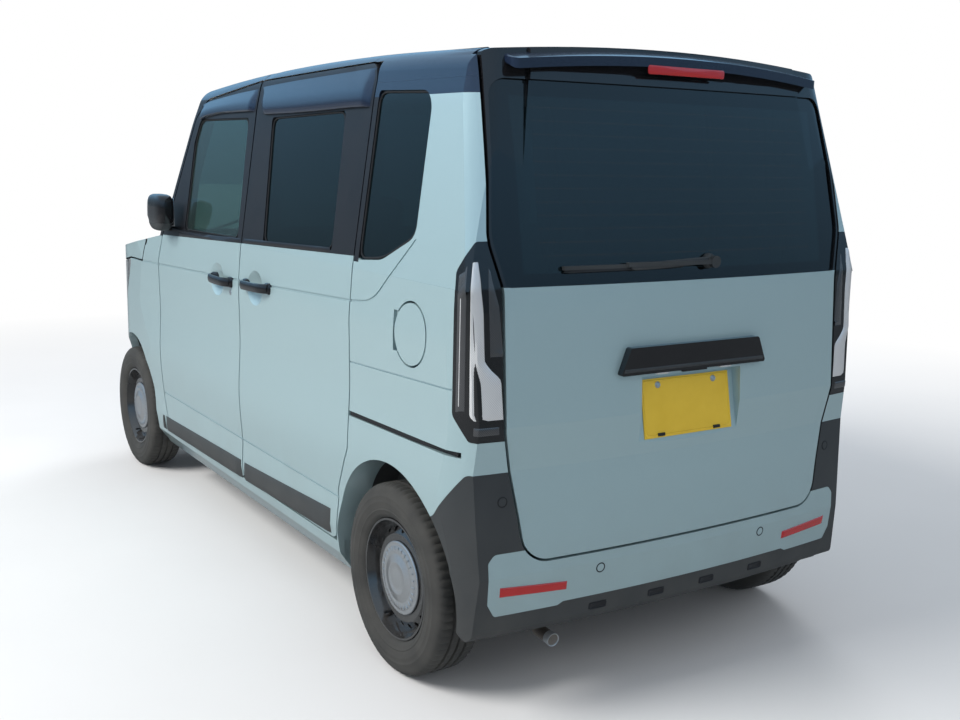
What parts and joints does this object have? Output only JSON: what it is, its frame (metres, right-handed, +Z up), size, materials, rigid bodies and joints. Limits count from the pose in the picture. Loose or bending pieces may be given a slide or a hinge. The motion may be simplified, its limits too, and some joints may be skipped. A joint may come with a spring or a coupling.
{
  "type": "kei car",
  "caption": "Tall one-box micro passenger car with black roof, hinged front doors, fixed sliding rear doors, lifting tailgate and bonnet, steel wheels and an open cabin",
  "frame": {"origin": "on the ground, midway along the car's length and between its sides", "axes": "+X to the front of the car, +Y to its left, +Z up"},
  "size_m": [3.3961, 1.6216, 1.7939],
  "materials": {
    "body_paint": "glossy pale blue-grey paint",
    "roof_black": "glossy black paint with a blue tint",
    "pillar_black": "satin black",
    "gloss_black": "polished black plastic",
    "trim_dark": "grained dark grey plastic",
    "underbody": "dark sealed underbody",
    "lamp_clear": "clear lamp cover",
    "lamp_smoke": "smoked lamp cover",
    "glass_clear": "green-tinted clear glass",
    "glass_privacy": "dark privacy glass",
    "cabin_plastic": "grained cabin plastic",
    "seat_cloth": "woven seat cloth",
    "engine_metal": "cast metal",
    "exhaust_steel": "dull stainless steel",
    "plate_yellow": "blank yellow plate",
    "tyre_rubber": "black rubber",
    "wheel_steel": "black painted steel"
  },
  "bodies": {
    "body": {"floor_pan": "underbody", "sills": "body_paint", "centre_pillars": "pillar_black", "roof_panel": "roof_black", "screen_frame": "pillar_black", "quarter_panels": "body_paint", "sliding_doors": "body_paint", "front_fenders": "body_paint", "front_bumper": "body_paint", "grille": "gloss_black", "headlamps": "lamp_clear", "tail_lamps": "lamp_smoke", "rear_bumper": "body_paint", "rear_skirt": "trim_dark", "arch_liners": "trim_dark", "windscreen": "glass_clear", "side_glass": "glass_privacy", "dashboard": "cabin_plastic", "front_seats": "seat_cloth", "rear_seat": "seat_cloth", "engine_block": "engine_metal", "fuel_tank": "underbody", "exhaust": "exhaust_steel", "front_subframe": "underbody", "strut_towers": "underbody", "rear_axle": "underbody", "antenna": "gloss_black"},
    "knuckle_left": {"knuckle_left": "engine_metal"},
    "knuckle_right": {"knuckle_right": "engine_metal"},
    "front_door_left": {"front_door_left": "body_paint", "door_glass_left": "glass_clear", "mirror_left": "gloss_black"},
    "front_door_right": {"front_door_right": "body_paint", "door_glass_right": "glass_clear", "mirror_right": "gloss_black"},
    "tailgate": {"tailgate": "body_paint", "tailgate_glass": "glass_privacy", "spoiler": "roof_black", "garnish": "gloss_black", "number_plate": "plate_yellow", "rear_wiper": "trim_dark"},
    "bonnet": {"bonnet": "body_paint"},
    "fuel_lid": {"fuel_lid": "body_paint"},
    "steering_wheel": {"steering_wheel": "cabin_plastic"},
    "wheel_front_left": {"wheel_front_left": "wheel_steel", "tyre_front_left": "tyre_rubber"},
    "wheel_front_right": {"wheel_front_right": "wheel_steel", "tyre_front_right": "tyre_rubber"},
    "wheel_rear_left": {"wheel_rear_left": "wheel_steel", "tyre_rear_left": "tyre_rubber"},
    "wheel_rear_right": {"wheel_rear_right": "wheel_steel", "tyre_rear_right": "tyre_rubber"}
  },
  "joints": [
    {"name": "steer_left", "type": "hinge", "parent": "body", "child": "knuckle_left", "pos_m": [1.2625, 0.632, 0.175], "axis": [0, -0.1685, 0.9857], "range_deg": [-35, 35]},
    {"name": "steer_right", "type": "hinge", "parent": "body", "child": "knuckle_right", "pos_m": [1.2625, -0.632, 0.175], "axis": [0, 0.1685, 0.9857], "range_deg": [-35, 35]},
    {"name": "steering_wheel_turn", "type": "hinge", "parent": "body", "child": "steering_wheel", "pos_m": [0.47, -0.345, 0.965], "axis": [-0.8829, 0, 0.4695], "range_deg": [-560, 560]},
    {"name": "roll_front_left", "type": "hinge", "parent": "knuckle_left", "child": "wheel_front_left", "pos_m": [1.2625, 0.6525, 0.2785], "axis": [0, 1, 0], "continuous": true},
    {"name": "roll_front_right", "type": "hinge", "parent": "knuckle_right", "child": "wheel_front_right", "pos_m": [1.2625, -0.6525, 0.2785], "axis": [0, 1, 0], "continuous": true},
    {"name": "roll_rear_left", "type": "hinge", "parent": "body", "child": "wheel_rear_left", "pos_m": [-1.2575, 0.6525, 0.2785], "axis": [0, 1, 0], "continuous": true},
    {"name": "roll_rear_right", "type": "hinge", "parent": "body", "child": "wheel_rear_right", "pos_m": [-1.2575, -0.6525, 0.2785], "axis": [0, 1, 0], "continuous": true},
    {"name": "front_door_left_swing", "type": "hinge", "parent": "body", "child": "front_door_left", "pos_m": [0.79, 0.724, 0.7], "axis": [0, 0, -1], "range_deg": [0, 68]},
    {"name": "front_door_right_swing", "type": "hinge", "parent": "body", "child": "front_door_right", "pos_m": [0.79, -0.724, 0.7], "axis": [0, 0, 1], "range_deg": [0, 68]},
    {"name": "tailgate_lift", "type": "hinge", "parent": "body", "child": "tailgate", "pos_m": [-1.505, 0, 1.745], "axis": [0, 1, 0], "range_deg": [0, 84]},
    {"name": "bonnet_lift", "type": "hinge", "parent": "body", "child": "bonnet", "pos_m": [1.01, 0, 1.083], "axis": [0, -1, 0], "range_deg": [0, 50]},
    {"name": "fuel_lid_swing", "type": "hinge", "parent": "body", "child": "fuel_lid", "pos_m": [-1.292, 0.727, 1.007], "axis": [0, 0, -1], "range_deg": [0, 85]}
  ],
  "couplings": [
    {"joint": "steer_right", "follows": "steer_left", "ratio": 1},
    {"joint": "steering_wheel_turn", "follows": "steer_left", "ratio": 15}
  ]
}
